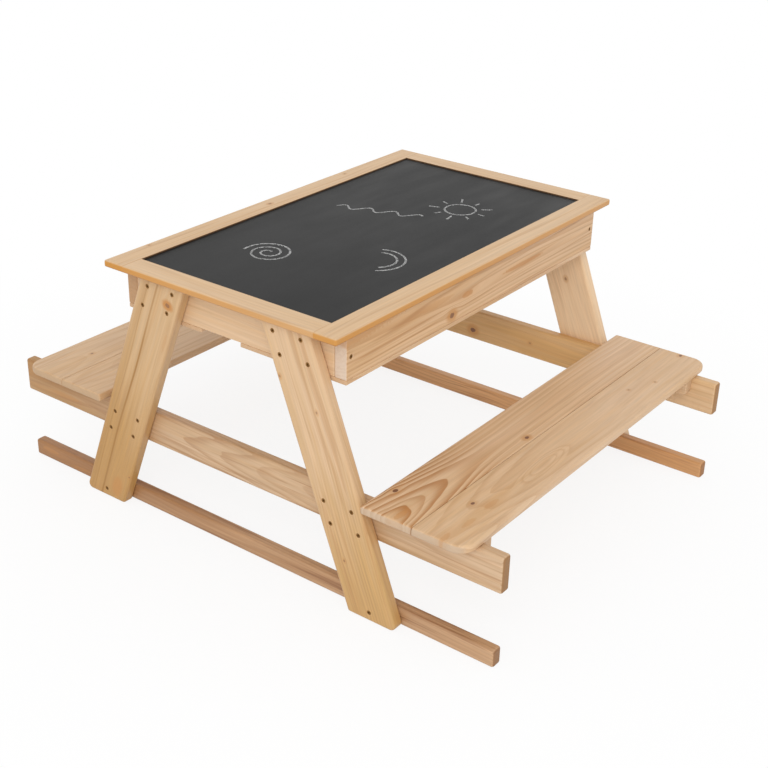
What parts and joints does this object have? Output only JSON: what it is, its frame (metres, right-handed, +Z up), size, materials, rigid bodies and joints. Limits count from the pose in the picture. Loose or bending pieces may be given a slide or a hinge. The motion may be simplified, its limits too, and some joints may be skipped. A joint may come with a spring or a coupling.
{
  "type": "children's picnic table",
  "caption": "Low wooden picnic table for children: leaning legs, fixed benches on both sides, and a shallow storage box under a framed chalkboard lid that lifts off.",
  "frame": {"origin": "on the floor under the middle of the table", "axes": "+X across the benches, +Y along the benches, +Z up"},
  "size_m": [1.0958, 0.858, 0.5],
  "materials": {
    "pine": "clear satin varnish",
    "chalkboard": "matte chalkboard paint",
    "screw_steel": "zinc plated",
    "beech": "bare"
  },
  "bodies": {
    "table": {"box_long_board_left": "pine", "box_long_board_right": "pine", "box_end_board_near": "pine", "box_end_board_far": "pine", "box_floor_board_left": "pine", "box_floor_board_right": "pine", "leg_near_left": "pine", "leg_near_right": "pine", "leg_far_left": "pine", "leg_far_right": "pine", "bench_rail_near": "pine", "bench_rail_far": "pine", "foot_bar_near": "pine", "foot_bar_far": "pine", "seat_board_left_inner": "pine", "seat_board_left_outer": "pine", "seat_board_right_inner": "pine", "seat_board_right_outer": "pine", "seat_cleat_left_near": "pine", "seat_cleat_left_far": "pine", "seat_cleat_right_near": "pine", "seat_cleat_right_far": "pine", "leg_top_screws": "screw_steel", "leg_rail_screws": "screw_steel", "foot_bar_screws": "screw_steel", "box_corner_screws": "screw_steel", "floor_board_screws": "screw_steel", "seat_screws": "screw_steel", "cleat_screws": "screw_steel"},
    "lid": {"lid_long_member_left": "pine", "lid_long_member_right": "pine", "lid_short_member_near": "pine", "lid_short_member_far": "pine", "chalkboard_panel": "chalkboard", "lid_batten_near": "pine", "lid_batten_far": "pine", "lid_batten_screws": "screw_steel", "lid_corner_dowels": "beech"}
  },
  "joints": [
    {"name": "lid_lift", "type": "slide", "parent": "table", "child": "lid", "axis": [0, 0, 1], "range_m": [0, 0.25]}
  ]
}
